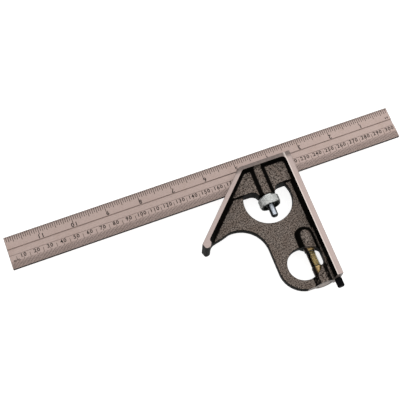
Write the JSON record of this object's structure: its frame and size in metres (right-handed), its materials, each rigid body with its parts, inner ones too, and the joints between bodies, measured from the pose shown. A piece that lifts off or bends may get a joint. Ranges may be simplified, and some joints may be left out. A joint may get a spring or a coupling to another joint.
{
  "type": "combination square",
  "caption": "Combination square with a ruled steel blade that slides and clamps in a cast 90 and 45 degree head holding a spirit level and a scriber.",
  "frame": {"origin": "centre of the box that encloses the tool, at the level of the face it lies on", "axes": "+X along the blade towards the end that stands out past the 90 degree face, +Y from the head's foot to the blade's upper edge, +Z out of the blade's grooved face"},
  "size_m": [0.3048, 0.1186, 0.021],
  "materials": {
    "head_enamel": "hammered dark enamel, ground bare on the rims",
    "blade_steel": "satin, engraved and blackened graduations",
    "bolt_steel": "blued steel",
    "spring_steel": "bright wire",
    "nut_zinc": "zinc plated, knurled",
    "vial_glass": "clear, with two black rings",
    "vial_spirit": "yellow liquid",
    "vial_stopper": "satin",
    "collar_brass": "satin",
    "vial_plug": "ground flush with the foot",
    "scriber_steel": "hardened and polished",
    "knob_black": "black, knurled",
    "bush_brass": "bright"
  },
  "bodies": {
    "head": {"head_casting": "head_enamel", "clamp_spring": "spring_steel", "vial_glass": "vial_glass", "vial_spirit": "vial_spirit", "vial_stopper": "vial_stopper", "vial_collar_upper": "collar_brass", "vial_collar_lower": "collar_brass", "vial_plug": "vial_plug", "scriber_bush": "bush_brass"},
    "blade": {"blade": "blade_steel"},
    "nut": {"clamp_nut": "nut_zinc"},
    "bolt": {"clamp_bolt": "bolt_steel"},
    "scriber": {"scriber_shaft": "scriber_steel", "scriber_knob": "knob_black"}
  },
  "joints": [
    {"name": "blade_slide", "type": "slide", "parent": "head", "child": "blade", "axis": [1, 0, 0], "range_m": [-0.105, 0.18]},
    {"name": "nut_turn", "type": "hinge", "parent": "head", "child": "nut", "pos_m": [0.0392, 0.01925, 0.0105], "axis": [0, 1, 0], "range_deg": [-390, 0]},
    {"name": "bolt_lift", "type": "slide", "parent": "head", "child": "bolt", "axis": [0, 1, 0], "range_m": [0, 0.000975]},
    {"name": "scriber_pull", "type": "slide", "parent": "head", "child": "scriber", "axis": [0, -1, 0], "range_m": [0, 0.045]}
  ],
  "couplings": [
    {"joint": "nut_turn", "follows": "bolt_lift", "rad_per_m": -6981.3}
  ]
}
